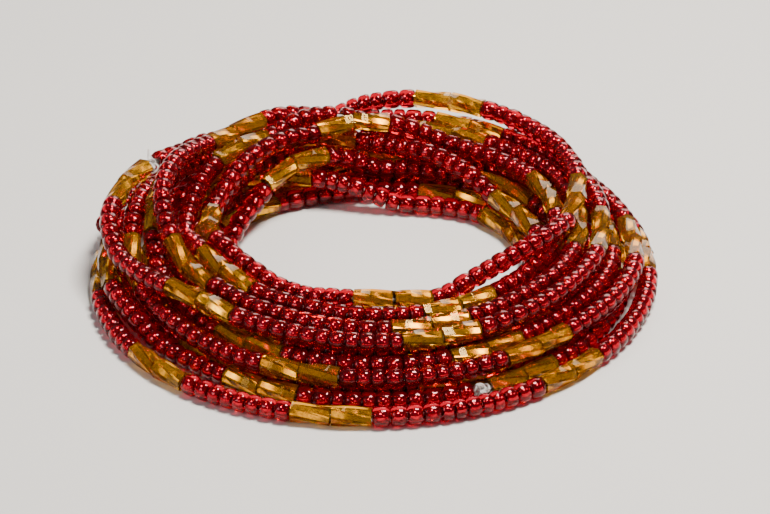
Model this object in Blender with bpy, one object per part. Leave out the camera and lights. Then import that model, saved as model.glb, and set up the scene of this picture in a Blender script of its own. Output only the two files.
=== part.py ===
"""Waist beads: one endless string of seed beads and pairs of twisted bugle beads, laid down in a coil.

Metres, +Z up. The origin is on the resting surface, under the middle of the coil; the front is -Y.
"""
import math

import bpy
import numpy as np
from mathutils import Vector

# The coil
OUTER_WIDTH = 0.0820       # across the outermost turn
HOLE_WIDTH = 0.0390        # across the open middle
LAY_GAP = 0.00020          # air between turns that lie on each other

# The beads and their thread
SEED_WIDTH = 0.0030        # across a seed bead's belly
SEED_PITCH = 0.00214       # from one seed bead to the next
SEEDS_IN_REPEAT = 12       # seed beads between two pairs of bugle beads
BUGLE_WIDTH = 0.0029       # across the corners of the six-sided glass
BUGLE_LENGTH = 0.0056
BUGLE_BORE = 0.0017
BUGLE_TWIST = math.radians(50)
BUGLE_GROOVE = 0.0004      # the dip where the two bugle beads of a pair meet
NECK_WALL = 0.0003         # glass round the bore at that dip
BELLY_LOSS = 0.0002        # how much narrower the plain string is than the beads' bellies
THREAD_WIDTH = 0.0006
FIT = 0.0003               # air between pieces that touch

# The knots that tie the three lengths together
KNOT_WIDTH = 0.0020
KNOT_TAIL = 0.0014         # how far the two cut ends stick out together
KNOT_LIFT = 1.2            # how steeply they rise
KNOT_SIDES = 8
KNOT_ANGLES = [math.radians(angle) for angle in (30, 60, 90, 120)]     # rings of the knot's ball, from its foot

# How the string is laid
STEPS = 360                # samples in a turn
START_ANGLE = math.radians(262)     # counted from the front, anticlockwise from above
BRIDGE = 0.0080            # radius in which the limp string bridges what it crosses
EASE = 0.0012              # length over which a rise is eased
TUBE_ANGLE = 15            # samples between two points of a string's solid
HUMP = 0.00030             # rise between two of those points that asks for one more
END_STUB = 0.0007          # straight length at each end of such a solid
LOOSE_PAIRS = 38           # most pairs of bugle beads that are solids of their own
PAIR_GAP = 0.0006          # air at each end of such a pair
LOOSE_HUMP = 0.00022       # most the string may hump along a bead of such a pair
OVERHANG = 0.7             # how far a higher turn stays off such a pair, in seed bead widths

# Where each turn lies at eight places round the coil, as a share of the way from the hole's edge (0) to the
# outer edge (1), and where a pair of bugle beads lies on that turn, in degrees to the right of the front.
TURN_COLUMNS = ("left", "front_left", "front", "front_right", "right", "back_right", "back", "back_left", "pair")
PAIR = TURN_COLUMNS.index("pair")
TURNS = [
    (1.050, 1.060, 1.000, 0.965, 1.000, 1.040, 0.905, 0.975, -9),
    (0.885, 0.635, 0.615, 0.605, 0.620, 0.660, 0.530, 0.610, 20),
    (0.705, 0.455, 0.440, 0.430, 0.443, 0.480, 0.350, 0.430, -35),
    (0.525, 0.278, 0.262, 0.253, 0.266, 0.300, 0.165, 0.250, 5),
    (0.345, 0.100, 0.084, 0.076, 0.088, 0.110, -0.020, 0.450, 25),
    (0.975, 0.815, 0.795, 0.785, 0.800, 0.845, 0.715, 0.790, 35),
    (0.785, 0.720, 0.710, 0.720, 0.895, 0.930, 0.810, 0.700, -18),
    (0.620, 0.543, 0.532, 0.543, 0.712, 0.745, 0.620, 0.520, 30),
    (0.440, 0.366, 0.354, 0.366, 0.534, 0.560, 0.440, 0.340, 45),
    (0.262, 0.189, 0.176, 0.189, 0.357, 0.375, 0.260, 0.160, -20),
    (0.084, 0.012, -0.002, 0.012, 0.180, 0.170, 0.400, 0.820, 30),
    (0.955, 0.500, 0.442, 0.480, 0.622, 0.825, 0.830, 0.640, 18),
    (0.535, 0.285, 0.264, 0.302, 0.444, 0.642, 0.650, 0.460, 17),
    (0.357, 0.107, 0.070, 0.115, 0.266, 0.460, 0.470, 0.280, 31),
    (0.180, -0.072, -0.096, -0.045, 0.360, 0.800, 0.990, 1.100, 7),
]
# The turn and the angle right of the front at which the second and third lengths are tied on.
TIES = ((5, 35), (10, 250))


def clear_scene():
    for thing in list(bpy.data.objects):
        bpy.data.objects.remove(thing, do_unlink=True)


def plain_material(name, colour, roughness, metallic):
    material = bpy.data.materials.new(name)
    material.use_nodes = True
    shader = material.node_tree.nodes["Principled BSDF"]
    shader.inputs["Base Color"].default_value = (*colour, 1.0)
    shader.inputs["Roughness"].default_value = roughness
    shader.inputs["Metallic"].default_value = metallic
    material.diffuse_color = (*colour, 1.0)
    return material


def smooth_through(values, place):
    """A smooth curve through evenly spaced values, read at each place."""
    before = 2 * values[0] - values[1]
    after = 2 * values[-1] - values[-2]
    padded = np.array([before, *values, after])
    first = np.clip(np.floor(place).astype(int), 0, len(values) - 2)
    f = place - first
    a, b, c, d = (padded[first + k] for k in range(4))
    return 0.5 * (2 * b + (c - a) * f + (2 * a - 5 * b + 4 * c - d) * f**2 + (3 * b - 3 * c + d - a) * f**3)


def plan_route():
    """The string seen from above: x and y of its samples, and the angle of each."""
    shares = [share for row in TURNS for share in row[:PAIR]]
    shares.append(shares[0])
    angle = START_ANGLE + 2 * math.pi * np.arange(len(TURNS) * STEPS + 1) / STEPS
    left = math.radians(270)
    place = np.clip((angle - left) * PAIR / (2 * math.pi), 0, len(shares) - 1)
    inner = (HOLE_WIDTH + SEED_WIDTH) / 2
    outer = (OUTER_WIDTH - SEED_WIDTH) / 2
    radius = inner + (outer - inner) * smooth_through(shares, place)
    return radius * np.sin(angle), -radius * np.cos(angle), angle


def bridged(x, y, height):
    """Height of a stretch of string that can't follow sharp rises: arcs over them, then eased."""
    run = np.concatenate([[0], np.cumsum(np.hypot(np.diff(x), np.diff(y)))])
    apart = (run[:, None] - run[None, :]) ** 2
    over = (height[None, :] - apart / (2 * BRIDGE)).max(axis=1)
    weight = np.exp(-apart / (2 * EASE**2))
    return (weight * over[None, :]).sum(axis=1) / weight.sum(axis=1)


def lay_down(x, y):
    """Height of each sample: on the surface, or on what was laid before it."""
    count = len(x)
    reach = SEED_WIDTH + LAY_GAP
    floor = max(BUGLE_WIDTH, SEED_WIDTH - BELLY_LOSS) / 2
    own = STEPS * 3 // 4
    ahead = STEPS // 4
    stretch = STEPS // 12
    bare = np.full(count, floor)
    height = np.full(count, floor)
    known = 0
    for first in range(0, count, stretch):
        last = min(count, first + stretch + ahead)
        for i in range(known, last):
            low = ahead if i > count - ahead else 0
            high = min(i - own, 2 * STEPS) if i > count - stretch else i - own     # the end is tucked under
            if high > low:
                off = (x[low:high] - x[i]) ** 2 + (y[low:high] - y[i]) ** 2
                under = off < reach**2
                if under.any():
                    rest = height[low:high][under] + np.sqrt(reach**2 - off[under])
                    bare[i] = max(floor, rest.max())
        known = last
        low = max(0, first - ahead)
        eased = bridged(x[low:last], y[low:last], bare[low:last])
        height[first:first + stretch] = eased[first - low:first - low + stretch]
    return height


class Route:
    """The string's middle line, read by length along it."""

    def __init__(self):
        x, y, self.angle = plan_route()
        middle = [(line.min() + line.max()) / 2 for line in (x, y)]
        self.points = np.column_stack([x - middle[0], y - middle[1], lay_down(x, y)])
        steps = np.linalg.norm(np.diff(self.points, axis=0), axis=1)
        self.run = np.concatenate([[0], np.cumsum(steps)])
        self.length = float(self.run[-1])

    def at(self, run):
        return Vector([float(np.interp(run, self.run, self.points[:, k])) for k in range(3)])

    def run_at(self, turn, degrees):
        """Length at which the string passes an angle to the right of the front on one of its turns."""
        return float(np.interp(2 * math.pi * (turn + 1) + math.radians(degrees), self.angle, self.run))

    def direction(self, run):
        step = SEED_PITCH / 2
        return (self.at(run + step) - self.at(run - step)).normalized()


def pair_places(route):
    """Lengths at which pairs of bugle beads are centred: one chosen on each turn, the rest evenly between."""
    half = BUGLE_LENGTH + KNOT_WIDTH / 2 + FIT
    repeat = SEEDS_IN_REPEAT * SEED_PITCH + 2 * BUGLE_LENGTH
    chosen = [half] + [route.run_at(turn, row[PAIR]) for turn, row in enumerate(TURNS)] + [route.length + half]
    places = []
    for here, following in zip(chosen, chosen[1:]):
        count = max(1, round((following - here) / repeat))
        places += [here + (following - here) * k / count for k in range(count)]
    return places


def tie_places(route, places):
    """The pair that each length of string begins with; its knot lies just before it."""
    wanted = [places[0]] + [route.run_at(turn, degrees) for turn, degrees in TIES]
    return [min(places, key=lambda place: abs(place - want)) for want in wanted]


def hump_at(route, place):
    """How far the string rises above a straight bead centred at a length along it; negative in a dip."""
    low, middle, high = (route.at(place + side * BUGLE_LENGTH / 2) for side in (-1, 0, 1))
    return middle.z - (low.z + high.z) / 2


def can_be_loose(route, place):
    """Whether the string is straight enough along a pair and past its ends, with no later turn over it."""
    for k in range(-3, 4):
        run = place + k * BUGLE_LENGTH / 2
        i = int(np.searchsorted(route.run, run))
        later = route.points[i + STEPS * 3 // 4:]
        higher = later[later[:, 2] > route.points[i, 2] + SEED_WIDTH / 2]
        off = np.hypot(higher[:, 0] - route.points[i, 0], higher[:, 1] - route.points[i, 1])
        if abs(hump_at(route, run)) > LOOSE_HUMP or (off < SEED_WIDTH * OVERHANG).any():
            return False
    return True


def bend_runs(route):
    """Lengths at which a plain string bends: at even angles, and between them where it humps over a crossing."""
    runs = [float(run) for run in route.run[::TUBE_ANGLE]]
    half = TUBE_ANGLE // 2
    for middle in range(half, len(route.run) - half, TUBE_ANGLE):
        rise = route.points[middle, 2] - (route.points[middle - half, 2] + route.points[middle + half, 2]) / 2
        if abs(rise) > HUMP:
            runs.append(float(route.run[middle]))
    return runs


def tube_runs(route, first, last, loose):
    """Lengths of a string solid's points, each with its width: full, or the bare thread's in a loose pair."""
    full = SEED_WIDTH - BELLY_LOSS
    pairs = [place for place in loose if first - FIT < place - BUGLE_LENGTH and place + BUGLE_LENGTH < last]
    runs = [(last - END_STUB, full), (last, full)]
    for place in pairs:
        begin, end = place - BUGLE_LENGTH - PAIR_GAP, place + BUGLE_LENGTH + PAIR_GAP
        if begin > first:
            runs += [(begin, full), (begin + FIT / 10, THREAD_WIDTH)]
        runs += [(place, THREAD_WIDTH), (end - FIT / 10, THREAD_WIDTH), (end, full)]
    at_pair = any(place - BUGLE_LENGTH - PAIR_GAP <= first for place in pairs)
    width = THREAD_WIDTH if at_pair else full
    runs += [(first, width), (first + END_STUB, width)]
    for run in bend_runs(route):
        free = all(abs(run - place) > BUGLE_LENGTH + SEED_WIDTH / 2 for place in pairs)
        if first + SEED_WIDTH / 2 < run < last - SEED_WIDTH / 2 and free:
            runs.append((run, full))
    return sorted(runs)


def make_string(name, route, first, last, loose, material):
    curve = bpy.data.curves.new(name, "CURVE")
    curve.dimensions = "3D"
    curve.bevel_depth = (SEED_WIDTH - BELLY_LOSS) / 2
    curve.bevel_resolution = 2
    curve.use_fill_caps = True
    curve.twist_mode = "Z_UP"
    runs = tube_runs(route, first, last, loose)
    spline = curve.splines.new("POLY")
    spline.points.add(len(runs) - 1)
    for point, (run, width) in zip(spline.points, runs):
        point.co = (*route.at(run), 1.0)
        point.radius = width / (SEED_WIDTH - BELLY_LOSS)
    string = bpy.data.objects.new(name, curve)
    curve.materials.append(material)
    bpy.context.collection.objects.link(string)
    return string


def ring(centre, axis, radius, turn, sides=6):
    """Corners of a polygon square to an axis; a turn of 0 puts a corner on top."""
    across = axis.cross(Vector((0, 0, 1))).normalized()
    up = across.cross(axis)
    corners = []
    for k in range(sides):
        a = turn + 2 * math.pi * k / sides
        corners.append(centre + radius * (math.cos(a) * up + math.sin(a) * across))
    return corners


def mesh_object(name, rings, closed, material):
    """A skin over rings of corners, joined end to end when closed, capped otherwise."""
    sides = len(rings[0])
    corners = [corner for one in rings for corner in one]
    faces = []
    for r in range(len(rings) if closed else len(rings) - 1):
        here, there = r * sides, (r + 1) % len(rings) * sides
        for k in range(sides):
            j = (k + 1) % sides
            faces.append((here + k, here + j, there + j, there + k))
    if not closed:
        faces.append(tuple(reversed(range(sides))))
        faces.append(tuple(range(len(corners) - sides, len(corners))))
    mesh = bpy.data.meshes.new(name)
    mesh.from_pydata([tuple(corner) for corner in corners], [], faces)
    mesh.materials.append(material)
    thing = bpy.data.objects.new(name, mesh)
    bpy.context.collection.objects.link(thing)
    return thing


def make_pair(name, route, place, material):
    """Two twisted six-sided glass tubes end to end, one solid, open for the thread."""
    rise = max(0, *(hump_at(route, place + side * BUGLE_LENGTH / 2) for side in (-1, 1)))
    lift = Vector((0, 0, rise))
    start, middle, end = (route.at(place + side * BUGLE_LENGTH) + lift for side in (-1, 0, 1))
    first = (middle - start).normalized()
    second = (end - middle).normalized()
    wide, bore = BUGLE_WIDTH / 2, BUGLE_BORE / 2
    neck = bore + NECK_WALL
    dip = BUGLE_GROOVE / 2
    rings = [
        ring(start, first, wide, 0),
        ring(middle - dip * first, first, wide, BUGLE_TWIST),
        ring(middle - dip * first, first, neck, BUGLE_TWIST),
        ring(middle + dip * second, second, neck, 0),
        ring(middle + dip * second, second, wide, 0),
        ring(end, second, wide, BUGLE_TWIST),
        ring(end, second, bore, BUGLE_TWIST),
        ring(middle, (first + second).normalized(), bore, BUGLE_TWIST / 2),
        ring(start, first, bore, 0),
    ]
    return mesh_object(name, rings, True, material)


def make_knot(name, route, run, material):
    """An overhand knot's outer form with its cut ends standing out from the coil."""
    centre = route.at(run)
    along = route.direction(run)
    out = Vector((centre.x, centre.y, 0)).normalized()
    out = (out - out.dot(along) * along + Vector((0, 0, KNOT_LIFT))).normalized()
    half = KNOT_WIDTH / 2
    rings = []
    for angle in KNOT_ANGLES:
        rings.append(ring(centre - out * half * math.cos(angle), out, half * math.sin(angle), 0, KNOT_SIDES))
    rings.append(ring(centre + out * half, out, THREAD_WIDTH, 0, KNOT_SIDES))
    rings.append(ring(centre + out * (half + KNOT_TAIL), out, THREAD_WIDTH, 0, KNOT_SIDES))
    return mesh_object(name, rings, False, material)


def build():
    clear_scene()
    ruby = plain_material("ruby_glass", (0.30, 0.004, 0.02), 0.12, 0.0)
    gold = plain_material("gold_glass", (0.55, 0.32, 0.05), 0.15, 0.3)
    thread = plain_material("clear_thread", (0.72, 0.68, 0.62), 0.35, 0.0)
    route = Route()
    places = pair_places(route)
    starts = tie_places(route, places)
    loose = [place for place in places if can_be_loose(route, place)][-LOOSE_PAIRS:]

    knots = [place - BUGLE_LENGTH - FIT - KNOT_WIDTH / 2 for place in starts]
    ends = knots[1:] + [knots[0] + route.length]
    for number, (begin, end) in enumerate(zip(knots, ends), 1):
        begin += KNOT_WIDTH / 2 + FIT
        end -= KNOT_WIDTH / 2 + FIT
        inside = [place for place in places if begin < place < end]
        gap = len(inside) // 2
        middle = (inside[gap - 1] + inside[gap]) / 2
        make_string(f"string_{number}_first_half", route, begin, middle - FIT / 2, loose, ruby)
        make_string(f"string_{number}_second_half", route, middle + FIT / 2, end, loose, ruby)
    for number, place in enumerate(loose, 1):
        make_pair(f"gold_pair_{number:02d}", route, place, gold)
    for name, run in zip(("closing_knot", "front_knot", "back_knot"), knots):
        make_knot(name, route, run, thread)


build()
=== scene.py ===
"""Waist beads: an endless string of silver-lined ruby seed beads and gold bugle beads, laid in a coil."""
import math

import bpy
import numpy as np
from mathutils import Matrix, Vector


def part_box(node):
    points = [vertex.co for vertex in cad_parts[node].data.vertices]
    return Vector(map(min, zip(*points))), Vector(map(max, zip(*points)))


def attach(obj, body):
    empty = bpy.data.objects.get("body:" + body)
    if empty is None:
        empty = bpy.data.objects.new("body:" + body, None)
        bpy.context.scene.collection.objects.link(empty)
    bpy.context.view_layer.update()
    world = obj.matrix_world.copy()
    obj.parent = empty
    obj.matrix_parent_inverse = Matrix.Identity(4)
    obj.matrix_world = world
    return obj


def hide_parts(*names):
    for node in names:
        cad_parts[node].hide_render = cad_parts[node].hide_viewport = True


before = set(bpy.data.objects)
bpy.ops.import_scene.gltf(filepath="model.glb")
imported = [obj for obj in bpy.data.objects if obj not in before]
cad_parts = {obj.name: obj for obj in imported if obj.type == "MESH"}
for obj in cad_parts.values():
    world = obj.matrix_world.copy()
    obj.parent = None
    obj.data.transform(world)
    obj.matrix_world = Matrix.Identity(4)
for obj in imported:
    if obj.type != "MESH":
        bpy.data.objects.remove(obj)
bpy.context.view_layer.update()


# The string's course
# One string goes round fifteen times, each turn lying on the surface or on the turns before it. Beads, thread
# and knots all take their places from this line, which is the one that the solids follow.
SEED_WIDTH = 0.0030
SEED_PITCH = 0.00214
SEEDS_IN_REPEAT = 12
BELLY_LOSS = 0.0002
BUGLE_WIDTH = 0.0029
BUGLE_LENGTH = 0.0056
KNOT_WIDTH = 0.0020
FIT = 0.0003
OUTER_WIDTH = 0.0820
HOLE_WIDTH = 0.0390
LAY_GAP = 0.00020
STEPS = 360
START_ANGLE = math.radians(262)
BRIDGE = 0.0080
EASE = 0.0012
# Where each turn lies at eight places round the coil, as a share of the way from the hole's edge (0) to the
# outer edge (1), and where a pair of bugle beads lies on it, in degrees to the right of the front.
TURN_COLUMNS = (
    "left", "front_left", "front", "front_right", "right", "back_right", "back", "back_left", "pair",
)
PAIR = TURN_COLUMNS.index("pair")
TURNS = [
    (1.050, 1.060, 1.000, 0.965, 1.000, 1.040, 0.905, 0.975, -9),
    (0.885, 0.635, 0.615, 0.605, 0.620, 0.660, 0.530, 0.610, 20),
    (0.705, 0.455, 0.440, 0.430, 0.443, 0.480, 0.350, 0.430, -35),
    (0.525, 0.278, 0.262, 0.253, 0.266, 0.300, 0.165, 0.250, 5),
    (0.345, 0.100, 0.084, 0.076, 0.088, 0.110, -0.020, 0.450, 25),
    (0.975, 0.815, 0.795, 0.785, 0.800, 0.845, 0.715, 0.790, 35),
    (0.785, 0.720, 0.710, 0.720, 0.895, 0.930, 0.810, 0.700, -18),
    (0.620, 0.543, 0.532, 0.543, 0.712, 0.745, 0.620, 0.520, 30),
    (0.440, 0.366, 0.354, 0.366, 0.534, 0.560, 0.440, 0.340, 45),
    (0.262, 0.189, 0.176, 0.189, 0.357, 0.375, 0.260, 0.160, -20),
    (0.084, 0.012, -0.002, 0.012, 0.180, 0.170, 0.400, 0.820, 30),
    (0.955, 0.500, 0.442, 0.480, 0.622, 0.825, 0.830, 0.640, 18),
    (0.535, 0.285, 0.264, 0.302, 0.444, 0.642, 0.650, 0.460, 17),
    (0.357, 0.107, 0.070, 0.115, 0.266, 0.460, 0.470, 0.280, 31),
    (0.180, -0.072, -0.096, -0.045, 0.360, 0.800, 0.990, 1.100, 7),
]
TIES = ((5, 35), (10, 250))


def smooth_through(values, place):
    """A smooth curve through evenly spaced values, read at each place."""
    before = 2 * values[0] - values[1]
    after = 2 * values[-1] - values[-2]
    padded = np.array([before, *values, after])
    first = np.clip(np.floor(place).astype(int), 0, len(values) - 2)
    f = place - first
    a, b, c, d = (padded[first + k] for k in range(4))
    return 0.5 * (2 * b + (c - a) * f + (2 * a - 5 * b + 4 * c - d) * f**2 + (3 * b - 3 * c + d - a) * f**3)


def plan_string():
    """The string seen from above: x and y of its samples, and the angle of each."""
    shares = [share for row in TURNS for share in row[:PAIR]]
    shares.append(shares[0])
    angle = START_ANGLE + 2 * math.pi * np.arange(len(TURNS) * STEPS + 1) / STEPS
    left = math.radians(270)
    place = np.clip((angle - left) * PAIR / (2 * math.pi), 0, len(shares) - 1)
    inner = (HOLE_WIDTH + SEED_WIDTH) / 2
    outer = (OUTER_WIDTH - SEED_WIDTH) / 2
    radius = inner + (outer - inner) * smooth_through(shares, place)
    return radius * np.sin(angle), -radius * np.cos(angle), angle


def bridged(x, y, height):
    """Height of a stretch of string that can't follow sharp rises: arcs over them, then eased."""
    run = np.concatenate([[0], np.cumsum(np.hypot(np.diff(x), np.diff(y)))])
    apart = (run[:, None] - run[None, :]) ** 2
    over = (height[None, :] - apart / (2 * BRIDGE)).max(axis=1)
    weight = np.exp(-apart / (2 * EASE**2))
    return (weight * over[None, :]).sum(axis=1) / weight.sum(axis=1)


def lay_string(x, y):
    """Height of each sample: on the surface, or on what was laid before it."""
    count = len(x)
    reach = SEED_WIDTH + LAY_GAP
    floor = max(BUGLE_WIDTH, SEED_WIDTH - BELLY_LOSS) / 2
    own = STEPS * 3 // 4
    ahead = STEPS // 4
    stretch = STEPS // 12
    bare = np.full(count, floor)
    height = np.full(count, floor)
    known = 0
    for first in range(0, count, stretch):
        last = min(count, first + stretch + ahead)
        for i in range(known, last):
            low = ahead if i > count - ahead else 0
            high = min(i - own, 2 * STEPS) if i > count - stretch else i - own     # the end is tucked under
            if high > low:
                off = (x[low:high] - x[i]) ** 2 + (y[low:high] - y[i]) ** 2
                under = off < reach**2
                if under.any():
                    rest = height[low:high][under] + np.sqrt(reach**2 - off[under])
                    bare[i] = max(floor, rest.max())
        known = last
        low = max(0, first - ahead)
        eased = bridged(x[low:last], y[low:last], bare[low:last])
        height[first:first + stretch] = eased[first - low:first - low + stretch]
    return height


plan_x, plan_y, string_angle = plan_string()
string_points = np.column_stack([
    plan_x - (plan_x.min() + plan_x.max()) / 2,
    plan_y - (plan_y.min() + plan_y.max()) / 2,
    lay_string(plan_x, plan_y),
])
string_run = np.concatenate([[0], np.cumsum(np.linalg.norm(np.diff(string_points, axis=0), axis=1))])
string_length = float(string_run[-1])


def string_at(run):
    return Vector([float(np.interp(run, string_run, string_points[:, k])) for k in range(3)])


def string_along(run, reach):
    return (string_at(run + reach) - string_at(run - reach)).normalized()


def run_at(turn, degrees):
    return float(np.interp(2 * math.pi * (turn + 1) + math.radians(degrees), string_angle, string_run))


# Pairs of bugle beads lie where the turns' table says, and evenly between those places.
half_pair = BUGLE_LENGTH + KNOT_WIDTH / 2 + FIT
repeat = SEEDS_IN_REPEAT * SEED_PITCH + 2 * BUGLE_LENGTH
chosen = [half_pair]
chosen += [run_at(turn, row[PAIR]) for turn, row in enumerate(TURNS)]
chosen.append(string_length + half_pair)
pair_places = []
for here, following in zip(chosen, chosen[1:]):
    count = max(1, round((following - here) / repeat))
    pair_places += [here + (following - here) * k / count for k in range(count)]

# Each of the three lengths begins just after a knot, with a pair.
tie_wanted = [pair_places[0]] + [run_at(turn, degrees) for turn, degrees in TIES]
tie_pairs = [min(pair_places, key=lambda place: abs(place - want)) for want in tie_wanted]
knot_runs = [place - BUGLE_LENGTH - FIT - KNOT_WIDTH / 2 for place in tie_pairs]
half_spans = {}
next_knots = knot_runs[1:] + [knot_runs[0] + string_length]
for number, (begin, end) in enumerate(zip(knot_runs, next_knots), 1):
    begin += KNOT_WIDTH / 2 + FIT
    end -= KNOT_WIDTH / 2 + FIT
    inside = [place for place in pair_places if begin < place < end]
    gap = len(inside) // 2
    middle = (inside[gap - 1] + inside[gap]) / 2
    half_spans[f"{number}_first_half"] = (begin, middle)
    half_spans[f"{number}_second_half"] = (middle, end)


# Seed beads
# Short rounds cut from a drawn tube of ruby glass and tumbled soft in fire, with mirror-bright silver on the
# wall of the hole. No two are quite the same length. They are strung close, each turned its own way.
SEED_BORE = 0.0012
SEED_SIDES = 12
# Half a bead's outline from its end to its middle: how far out from the middle, and how wide, as shares.
SEED_OUTLINE = [(1.00, 0.66), (0.84, 0.88), (0.45, 0.99)]
HOLE_REACH = 0.47          # how far the lined hole reaches from the bead's middle, in bead lengths
SEED_FILL = 0.985          # glass in a seed bead's share of the string; the rest is air
LENGTH_SPREAD = 0.20       # how much longer or shorter than the others a seed bead may be
WIDTH_SPREAD = 0.03        # how much wider or narrower
CANE_LINES = 26            # fine lines round a bead


def turned_bead(name, outline, bore, sides):
    """A ring-shaped bead one unit long and wide, hole and all; the faces of its hole are marked lined."""
    rings = [(-along / 2, wide / 2) for along, wide in outline]
    rings += [(along / 2, wide / 2) for along, wide in reversed(outline)]
    rings += [(HOLE_REACH, bore / 2), (-HOLE_REACH, bore / 2)]
    corners = []
    for z, radius in rings:
        for k in range(sides):
            a = 2 * math.pi * k / sides
            corners.append((radius * math.cos(a), radius * math.sin(a), z))
    faces = []
    lined = []
    for r in range(len(rings)):
        here, there = r * sides, (r + 1) % len(rings) * sides
        for k in range(sides):
            j = (k + 1) % sides
            faces.append((here + k, here + j, there + j, there + k))
            lined.append(r == len(rings) - 2)
    mesh = bpy.data.meshes.new(name)
    mesh.from_pydata(corners, [], faces)
    mark = mesh.attributes.new("lined", "BOOLEAN", "FACE")
    mark.data.foreach_set("value", lined)
    mesh.polygons.foreach_set("use_smooth", [True] * len(faces))
    around = mesh.uv_layers.new(name="UVMap")
    for face in mesh.polygons:
        for loop, k in zip(face.loop_indices, range(4)):
            corner = mesh.vertices[mesh.loops[loop].vertex_index].co
            step = (face.index % sides + (1 if k in (1, 2) else 0)) / sides
            around.data[loop].uv = (step, corner.z + 0.5)
    return bpy.data.objects.new(name, mesh)


def drawn_cane():
    """Shader group: each bead's own shade between two, and the fine lines that drawing leaves on the cane."""
    group = bpy.data.node_groups.new("drawn_cane", "ShaderNodeTree")
    for name in ("Deep", "Pale"):
        group.interface.new_socket(name, in_out="INPUT", socket_type="NodeSocketColor")
    group.interface.new_socket("Lines Round", in_out="INPUT", socket_type="NodeSocketFloat")
    group.interface.new_socket("Color", in_out="OUTPUT", socket_type="NodeSocketColor")
    group.interface.new_socket("Lines", in_out="OUTPUT", socket_type="NodeSocketFloat")
    nodes, links = group.nodes, group.links
    given = nodes.new("NodeGroupInput")
    tint = nodes.new("ShaderNodeAttribute")
    tint.attribute_name = "tint"
    shade = nodes.new("ShaderNodeMix")
    shade.data_type = "RGBA"
    links.new(tint.outputs["Fac"], shade.inputs["Factor"])
    links.new(given.outputs["Deep"], shade.inputs[6])
    links.new(given.outputs["Pale"], shade.inputs[7])
    around = nodes.new("ShaderNodeUVMap")
    around.uv_map = "UVMap"
    stretch = nodes.new("ShaderNodeCombineXYZ")
    stretch.inputs["Y"].default_value = 0.6
    links.new(given.outputs["Lines Round"], stretch.inputs["X"])
    lines = nodes.new("ShaderNodeMapping")
    links.new(around.outputs["UV"], lines.inputs["Vector"])
    links.new(stretch.outputs["Vector"], lines.inputs["Scale"])
    drawn = nodes.new("ShaderNodeTexNoise")
    drawn.inputs["Scale"].default_value = 1.0
    drawn.inputs["Detail"].default_value = 2.0
    links.new(lines.outputs["Vector"], drawn.inputs["Vector"])
    result = nodes.new("NodeGroupOutput")
    links.new(shade.outputs[2], result.inputs["Color"])
    links.new(drawn.outputs["Fac"], result.inputs["Lines"])
    return group


def glass(name, deep, pale, glint, roughness, line_depth):
    """Clear coloured glass with a tinted gloss."""
    material = bpy.data.materials.new(name)
    material.use_nodes = True
    nodes, links = material.node_tree.nodes, material.node_tree.links
    shader = nodes["Principled BSDF"]
    shader.inputs["Transmission Weight"].default_value = 0.96
    shader.inputs["IOR"].default_value = 1.52
    shader.inputs["Roughness"].default_value = roughness
    shader.inputs["Specular Tint"].default_value = (*glint, 1)
    drawing = nodes.new("ShaderNodeGroup")
    drawing.node_tree = cane
    drawing.inputs["Deep"].default_value = (*deep, 1)
    drawing.inputs["Pale"].default_value = (*pale, 1)
    drawing.inputs["Lines Round"].default_value = CANE_LINES
    links.new(drawing.outputs["Color"], shader.inputs["Base Color"])
    if line_depth > 0:
        bump = nodes.new("ShaderNodeBump")
        bump.inputs["Strength"].default_value = line_depth
        bump.inputs["Distance"].default_value = 0.00003
        links.new(drawing.outputs["Lines"], bump.inputs["Height"])
        links.new(bump.outputs["Normal"], shader.inputs["Normal"])
    return material


def silver_lining(name, dull, bright):
    """Silver on the wall of a bead's hole, mottled between two roughnesses."""
    material = bpy.data.materials.new(name)
    material.use_nodes = True
    nodes, links = material.node_tree.nodes, material.node_tree.links
    shader = nodes["Principled BSDF"]
    shader.inputs["Metallic"].default_value = 1.0
    place = nodes.new("ShaderNodeTexCoord")
    mottle = nodes.new("ShaderNodeTexNoise")
    mottle.inputs["Scale"].default_value = 1800.0
    links.new(place.outputs["Object"], mottle.inputs["Vector"])
    tone = nodes.new("ShaderNodeValToRGB")
    tone.color_ramp.elements[0].position = 0.35
    tone.color_ramp.elements[0].color = (0.62, 0.60, 0.56, 1)
    tone.color_ramp.elements[1].position = 0.65
    tone.color_ramp.elements[1].color = (0.96, 0.95, 0.92, 1)
    links.new(mottle.outputs["Fac"], tone.inputs["Fac"])
    links.new(tone.outputs["Color"], shader.inputs["Base Color"])
    rough = nodes.new("ShaderNodeMapRange")
    rough.inputs["To Min"].default_value = dull
    rough.inputs["To Max"].default_value = bright
    links.new(mottle.outputs["Fac"], rough.inputs["Value"])
    links.new(rough.outputs["Result"], shader.inputs["Roughness"])
    return material


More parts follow.
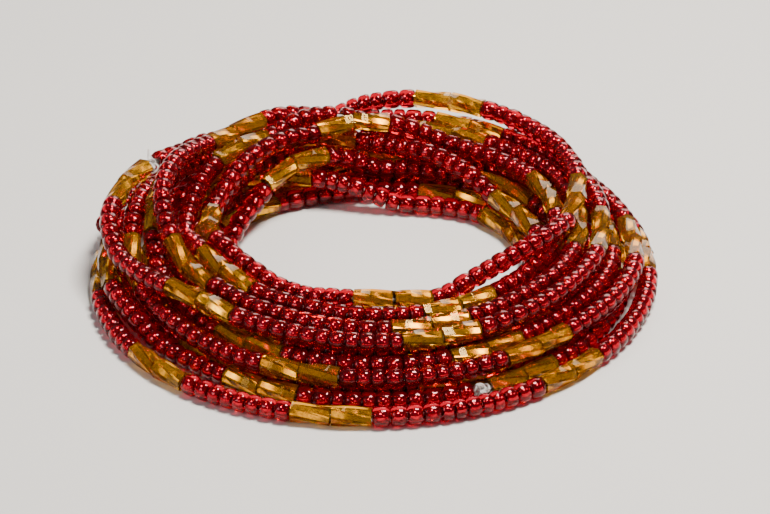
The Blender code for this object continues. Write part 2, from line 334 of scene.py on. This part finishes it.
def threading_tree():
    """A bead on every point, its hole along the point's axis, then glass outside and silver in the hole."""
    tree = bpy.data.node_groups.new("threading", "GeometryNodeTree")
    wanted = [("String", "NodeSocketGeometry"), ("Bead", "NodeSocketObject"), ("Width", "NodeSocketFloat"),
              ("Width Spread", "NodeSocketFloat"), ("Seed", "NodeSocketInt"), ("Glass", "NodeSocketMaterial"),
              ("Lining", "NodeSocketMaterial")]
    for name, kind in wanted:
        tree.interface.new_socket(name, in_out="INPUT", socket_type=kind)
    tree.interface.new_socket("Beads", in_out="OUTPUT", socket_type="NodeSocketGeometry")
    nodes, links = tree.nodes, tree.links
    given = nodes.new("NodeGroupInput")
    bead = nodes.new("GeometryNodeObjectInfo")
    links.new(given.outputs["Bead"], bead.inputs["Object"])

    def read(name, kind):
        node = nodes.new("GeometryNodeInputNamedAttribute")
        node.data_type = kind
        node.inputs["Name"].default_value = name
        return node.outputs["Attribute"]

    def chance(low, high, offset):
        node = nodes.new("FunctionNodeRandomValue")
        node.data_type = "FLOAT"
        node.inputs[2].default_value = low
        node.inputs[3].default_value = high
        shifted = nodes.new("ShaderNodeMath")
        shifted.inputs[1].default_value = offset
        links.new(given.outputs["Seed"], shifted.inputs[0])
        links.new(shifted.outputs[0], node.inputs["Seed"])
        return node.outputs[1]

    aligned = nodes.new("FunctionNodeAlignRotationToVector")
    aligned.axis = "Z"
    links.new(read("axis", "FLOAT_VECTOR"), aligned.inputs["Vector"])
    roll = nodes.new("ShaderNodeCombineXYZ")
    links.new(chance(0, 2 * math.pi, 1), roll.inputs["Z"])
    rolled = nodes.new("FunctionNodeRotateRotation")
    rolled.rotation_space = "LOCAL"
    links.new(aligned.outputs["Rotation"], rolled.inputs["Rotation"])
    links.new(roll.outputs["Vector"], rolled.inputs["Rotate By"])

    spread = nodes.new("ShaderNodeMath")
    spread.operation = "MULTIPLY_ADD"
    spread.inputs[2].default_value = 1.0
    links.new(chance(-1, 1, 2), spread.inputs[0])
    links.new(given.outputs["Width Spread"], spread.inputs[1])
    width = nodes.new("ShaderNodeMath")
    width.operation = "MULTIPLY"
    links.new(given.outputs["Width"], width.inputs[0])
    links.new(spread.outputs[0], width.inputs[1])
    size = nodes.new("ShaderNodeCombineXYZ")
    links.new(width.outputs[0], size.inputs["X"])
    links.new(width.outputs[0], size.inputs["Y"])
    links.new(read("length", "FLOAT"), size.inputs["Z"])

    strung = nodes.new("GeometryNodeInstanceOnPoints")
    links.new(given.outputs["String"], strung.inputs["Points"])
    links.new(bead.outputs["Geometry"], strung.inputs["Instance"])
    links.new(rolled.outputs["Rotation"], strung.inputs["Rotation"])
    links.new(size.outputs["Vector"], strung.inputs["Scale"])
    tinted = nodes.new("GeometryNodeStoreNamedAttribute")
    tinted.data_type = "FLOAT"
    tinted.domain = "INSTANCE"
    tinted.inputs["Name"].default_value = "tint"
    links.new(strung.outputs["Instances"], tinted.inputs["Geometry"])
    links.new(chance(0, 1, 3), tinted.inputs["Value"])
    real = nodes.new("GeometryNodeRealizeInstances")
    links.new(tinted.outputs["Geometry"], real.inputs["Geometry"])
    outside = nodes.new("GeometryNodeSetMaterial")
    links.new(real.outputs["Geometry"], outside.inputs["Geometry"])
    links.new(given.outputs["Glass"], outside.inputs["Material"])
    inside = nodes.new("GeometryNodeSetMaterial")
    links.new(outside.outputs["Geometry"], inside.inputs["Geometry"])
    links.new(read("lined", "BOOLEAN"), inside.inputs["Selection"])
    links.new(given.outputs["Lining"], inside.inputs["Material"])
    result = nodes.new("NodeGroupOutput")
    links.new(inside.outputs["Geometry"], result.inputs["Beads"])
    return tree


def threaded(name, tree, beads, **values):
    """Beads given as (middle, axis, length), laid by the tree and made one plain mesh."""
    mesh = bpy.data.meshes.new(name)
    mesh.from_pydata([tuple(middle) for middle, axis, length in beads], [], [])
    axes = mesh.attributes.new("axis", "FLOAT_VECTOR", "POINT")
    axes.data.foreach_set("vector", [part for middle, axis, length in beads for part in axis])
    lengths = mesh.attributes.new("length", "FLOAT", "POINT")
    lengths.data.foreach_set("value", [length for middle, axis, length in beads])
    piece = bpy.data.objects.new(name, mesh)
    bpy.context.collection.objects.link(piece)
    laid = piece.modifiers.new("threading", "NODES")
    laid.node_group = tree
    for item in tree.interface.items_tree:
        if item.in_out == "INPUT" and item.name in values:
            laid[item.identifier] = values[item.name]
    piece.data = bpy.data.meshes.new_from_object(piece.evaluated_get(bpy.context.evaluated_depsgraph_get()))
    piece.modifiers.remove(laid)
    piece.data.name = name
    return piece


seed_bead = turned_bead("seed_bead", SEED_OUTLINE, SEED_BORE / SEED_WIDTH, SEED_SIDES)
threading = threading_tree()
cane = drawn_cane()
ruby_glass = glass("ruby_glass", deep=(0.52, 0.004, 0.018), pale=(0.78, 0.006, 0.028),
                   glint=(0.85, 0.34, 0.36), roughness=0.02, line_depth=0.04)
mirror_silver = silver_lining("mirror_silver", dull=0.14, bright=0.07)
chance_of_length = np.random.default_rng(7)
stretches = list(zip(pair_places, pair_places[1:] + [pair_places[0] + string_length]))
for half, (begin, end) in half_spans.items():
    beads = []
    for pair, next_pair in stretches:
        first = pair + BUGLE_LENGTH
        last = next_pair - BUGLE_LENGTH
        if next_pair in tie_pairs or next_pair > string_length:
            last -= KNOT_WIDTH + 2 * FIT
        count = round((last - first) / SEED_PITCH)
        shares = chance_of_length.uniform(1 - LENGTH_SPREAD, 1 + LENGTH_SPREAD, count)
        edges = first + (last - first) * np.concatenate([[0], np.cumsum(shares)]) / shares.sum()
        for low, high in zip(edges, edges[1:]):
            middle = (low + high) / 2
            if begin <= middle < end:
                axis = string_along(middle, SEED_PITCH / 2)
                beads.append((string_at(middle), axis, (high - low) * SEED_FILL))
    seeds = threaded(f"seed_beads_{half}", threading, beads, Bead=seed_bead, Width=SEED_WIDTH, Seed=3,
                     Glass=ruby_glass, Lining=mirror_silver, **{"Width Spread": WIDTH_SPREAD})
    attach(seeds, "root")
    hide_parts(f"string_{half}")
bpy.data.objects.remove(seed_bead)


# Bugle beads
# Lengths of six-sided amber glass cane, twisted while hot and cut square, with a silver-lined hole. They are
# strung two and two between the seed beads, and lie as stiff straight rods in the soft string.
BUGLE_BORE = 0.0017
BUGLE_TWIST = math.radians(50)
BUGLE_RINGS = 8
BUGLE_SIDES = 6
BUGLE_FILL = 0.98          # glass in a bugle bead's share of the string


def twisted_bead(name, bore, twist, rings, sides):
    """A six-sided twisted rod one unit long and wide, its corners sharp, ends square and hole lined."""
    corners = []
    for r in range(rings):
        share = r / (rings - 1)
        for k in range(sides):
            a = 2 * math.pi * k / sides + twist * share
            corners.append((math.cos(a) / 2, math.sin(a) / 2, share - 0.5))
    for z in (0.5, -0.5):
        for k in range(sides):
            a = 2 * math.pi * k / sides + twist * (z + 0.5)
            corners.append((bore / 2 * math.cos(a), bore / 2 * math.sin(a), z))
    faces = []
    for r in range(rings + 2):
        here, there = r * sides, (r + 1) % (rings + 2) * sides
        for k in range(sides):
            j = (k + 1) % sides
            faces.append((here + k, here + j, there + j, there + k))
    mesh = bpy.data.meshes.new(name)
    mesh.from_pydata(corners, [], faces)
    lined = [face // sides == rings for face in range(len(faces))]
    mesh.attributes.new("lined", "BOOLEAN", "FACE").data.foreach_set("value", lined)
    mesh.polygons.foreach_set("use_smooth", [True] * len(faces))
    for edge in mesh.edges:
        low, high = sorted(vertex // sides for vertex in edge.vertices)
        across = low == high
        edge.use_edge_sharp = not across or low in (0, rings - 1, rings, rings + 1)
    around = mesh.uv_layers.new(name="UVMap")
    for face in mesh.polygons:
        for loop, k in zip(face.loop_indices, range(4)):
            corner = mesh.vertices[mesh.loops[loop].vertex_index].co
            step = (face.index % sides + (1 if k in (1, 2) else 0)) / sides
            around.data[loop].uv = (step, corner.z + 0.5)
    return bpy.data.objects.new(name, mesh)


bugle_bead = twisted_bead("bugle_bead", BUGLE_BORE / BUGLE_WIDTH, BUGLE_TWIST, BUGLE_RINGS, BUGLE_SIDES)
gold_glass = glass("gold_glass", deep=(1.0, 0.37, 0.006), pale=(1.0, 0.45, 0.014),
                   glint=(0.35, 0.21, 0.05), roughness=0.06, line_depth=0)
satin_silver = silver_lining("satin_silver", dull=0.22, bright=0.12)
pair_nodes = {}
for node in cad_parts:
    if node.startswith("gold_pair"):
        low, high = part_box(node)
        middle = (Vector(low) + Vector(high)) / 2
        pair_nodes[node] = min(pair_places, key=lambda place: (string_at(place) - middle).length)


def rod_ends(low):
    """Where a stiff bead's ends lie, from the string's length at its first end: straight, over any hump."""
    start, finish = string_at(low), string_at(low + BUGLE_LENGTH)
    rise = string_at(low + BUGLE_LENGTH / 2).z - (start.z + finish.z) / 2
    lift = Vector((0, 0, max(0, rise)))
    return start + lift, finish + lift


for half, (begin, end) in half_spans.items():
    beads = []
    for place in pair_places:
        if begin <= place < end:
            for low in (place - BUGLE_LENGTH, place):
                start, finish = rod_ends(low)
                beads.append(((start + finish) / 2, (finish - start).normalized(), BUGLE_LENGTH * BUGLE_FILL))
    bugles = threaded(f"bugle_beads_{half}", threading, beads, Bead=bugle_bead, Width=BUGLE_WIDTH, Seed=11,
                      Glass=gold_glass, Lining=satin_silver, **{"Width Spread": WIDTH_SPREAD})
    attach(bugles, "root")
    held = [node for node, place in pair_nodes.items() if begin <= place < end]
    if held:
        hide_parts(*held)
bpy.data.objects.remove(bugle_bead)


# Thread
# Thin clear nylon through every bead, seen only where two beads part and beside the knots.
THREAD_WIDTH = 0.00045
THREAD_STEP = 3            # samples of the course between two points


def nylon(name, colour, transmission):
    """Cloudy nylon: soft gloss, milky, with fine grain."""
    material = bpy.data.materials.new(name)
    material.use_nodes = True
    nodes, links = material.node_tree.nodes, material.node_tree.links
    shader = nodes["Principled BSDF"]
    shader.inputs["Transmission Weight"].default_value = transmission
    shader.inputs["IOR"].default_value = 1.53
    place = nodes.new("ShaderNodeTexCoord")
    grain = nodes.new("ShaderNodeTexNoise")
    grain.inputs["Scale"].default_value = 2400.0
    grain.inputs["Detail"].default_value = 4.0
    links.new(place.outputs["Object"], grain.inputs["Vector"])
    cloud = nodes.new("ShaderNodeValToRGB")
    cloud.color_ramp.elements[0].color = (*(part * 0.72 for part in colour), 1)
    cloud.color_ramp.elements[1].color = (*colour, 1)
    links.new(grain.outputs["Fac"], cloud.inputs["Fac"])
    links.new(cloud.outputs["Color"], shader.inputs["Base Color"])
    rough = nodes.new("ShaderNodeMapRange")
    rough.inputs["To Min"].default_value = 0.25
    rough.inputs["To Max"].default_value = 0.50
    links.new(grain.outputs["Fac"], rough.inputs["Value"])
    links.new(rough.outputs["Result"], shader.inputs["Roughness"])
    bump = nodes.new("ShaderNodeBump")
    bump.inputs["Strength"].default_value = 0.5
    bump.inputs["Distance"].default_value = 0.0001
    links.new(grain.outputs["Fac"], bump.inputs["Height"])
    links.new(bump.outputs["Normal"], shader.inputs["Normal"])
    return material


def thread_tube(name, routes, width, sides, material):
    """Round thread along one or more routes, as one plain mesh."""
    curve = bpy.data.curves.new(name, "CURVE")
    curve.dimensions = "3D"
    curve.bevel_depth = width / 2
    curve.bevel_resolution = sides // 2 - 2
    curve.use_fill_caps = True
    for route in routes:
        spline = curve.splines.new("POLY")
        spline.points.add(len(route) - 1)
        spline.points.foreach_set("co", [part for point in route for part in (*point, 1.0)])
    drawn = bpy.data.objects.new(name + "_drawn", curve)
    bpy.context.collection.objects.link(drawn)
    mesh = bpy.data.meshes.new_from_object(drawn.evaluated_get(bpy.context.evaluated_depsgraph_get()))
    bpy.data.objects.remove(drawn)
    mesh.name = name
    mesh.materials.clear()
    mesh.materials.append(material)
    mesh.polygons.foreach_set("use_smooth", [True] * len(mesh.polygons))
    piece = bpy.data.objects.new(name, mesh)
    bpy.context.collection.objects.link(piece)
    return piece


clear_nylon = nylon("clear_nylon", (0.94, 0.91, 0.88), 0.45)
for number, (begin, end) in enumerate(zip(knot_runs, next_knots), 1):
    pairs = [place for place in pair_places if begin < place < end]
    soft = [run for run in string_run[::THREAD_STEP] if begin < run < end]
    soft = [run for run in soft if all(abs(run - place) > BUGLE_LENGTH for place in pairs)]
    stops = [(run, string_at(run)) for run in soft]
    for place in pairs:
        for low in (place - BUGLE_LENGTH, place):
            start, finish = rod_ends(low)
            stops += [(low + FIT, start), (low + BUGLE_LENGTH - FIT, finish)]
    line = [point for run, point in sorted(stops, key=lambda stop: stop[0])]
    thread = thread_tube(f"thread_{number}", [line], THREAD_WIDTH, 6, clear_nylon)
    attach(thread, "root")


# Knots
# The three lengths are tied to each other with overhand knots, drawn small and hard, their two cut ends left
# a little way out and melted so that they can't slip back.
KNOT_THREAD = 0.00030
KNOT_TAILS = (0.0024, 0.0017)
TAIL_WAVE = 0.0002
KNOT_LIFT = 0.8            # how steeply the tails rise from the coil
KNOT_STEPS = 36
# The knot's rounds of thread, one inside the other: how wide in knot widths, and how far turned in radians.
KNOT_ROUNDS = [(0.210, 0.0), (0.160, 1.3), (0.120, 2.6)]
for name, run in zip(("closing_knot", "front_knot", "back_knot"), knot_runs):
    centre = string_at(run)
    along = string_along(run, SEED_PITCH / 2)
    out = Vector((centre.x, centre.y, 0)).normalized()
    out = (out - out.dot(along) * along + Vector((0, 0, KNOT_LIFT))).normalized()
    side = along.cross(out)
    routes = []
    for share, turned in KNOT_ROUNDS:
        wide = KNOT_WIDTH * share
        first = math.cos(turned) * along + math.sin(turned) * side
        second = math.cos(turned) * side - math.sin(turned) * along
        loops = []
        for k in range(KNOT_STEPS + 1):
            a = 2 * math.pi * k / KNOT_STEPS
            across = wide * (math.sin(a) + 2 * math.sin(2 * a))
            up = wide * (math.cos(a) - 2 * math.cos(2 * a))
            over = wide * 1.4 * math.sin(3 * a)
            loops.append(centre + across * first + up * out - over * second)
        routes.append(loops)
    for sign, length in zip((-1, 1), KNOT_TAILS):
        lean = (out + sign * 0.55 * along + sign * 0.25 * side).normalized()
        routes.append([centre + lean * length * share + side * TAIL_WAVE * math.sin(4 * share)
                       for share in np.linspace(0, 1, 8)])
    knot = thread_tube(f"{name}_tied", routes, KNOT_THREAD, 8, clear_nylon)
    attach(knot, "root")
    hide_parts(name)


# Floor, camera and light
# A plain pale floor and soft studio light; the camera stands where the photograph was taken from.
floor_mesh = bpy.data.meshes.new("floor")
floor_mesh.from_pydata([(-3, -3, 0), (3, -3, 0), (3, 3, 0), (-3, 3, 0)], [], [(0, 1, 2, 3)])
floor = bpy.data.objects.new("floor", floor_mesh)
bpy.context.collection.objects.link(floor)
floor_paint = bpy.data.materials.new("floor_paint")
floor_paint.use_nodes = True
floor_paint.node_tree.nodes["Principled BSDF"].inputs["Base Color"].default_value = (0.56, 0.55, 0.54, 1)
floor_paint.node_tree.nodes["Principled BSDF"].inputs["Roughness"].default_value = 0.7
floor_mesh.materials.append(floor_paint)

lens = bpy.data.cameras.new("camera")
lens.lens = 176.1
lens.sensor_width = 36.0
lens.clip_start = 0.01
camera = bpy.data.objects.new("camera", lens)
bpy.context.collection.objects.link(camera)
looked_at = Vector((0.00163, 0.00170, 0.00291))
camera_away = 0.55
height_angle = math.radians(30)
camera.location = looked_at + camera_away * Vector((0, -math.cos(height_angle), math.sin(height_angle)))
camera.rotation_euler = (math.radians(90) - height_angle, 0, 0)
bpy.context.scene.camera = camera

world = bpy.data.worlds.new("studio")
world.use_nodes = True
world.node_tree.nodes["Background"].inputs["Color"].default_value = (0.80, 0.82, 0.85, 1)
world.node_tree.nodes["Background"].inputs["Strength"].default_value = 0.20
bpy.context.scene.world = world


def lamp(name, place, width, watts, colour):
    light = bpy.data.lights.new(name, "AREA")
    light.size = width
    light.energy = watts
    light.color = colour
    holder = bpy.data.objects.new(name, light)
    holder.location = place
    holder.rotation_euler = (looked_at - Vector(place)).to_track_quat("-Z", "Y").to_euler()
    bpy.context.collection.objects.link(holder)


lamp("key", (0.12, 0.02, 0.45), 0.15, 6.6, (1.0, 0.94, 0.86))
lamp("fill", (-0.45, -0.30, 0.35), 0.20, 1.0, (0.95, 0.97, 1.0))
lamp("back", (0.10, 0.50, 0.25), 0.25, 1.0, (1.0, 0.92, 0.80))
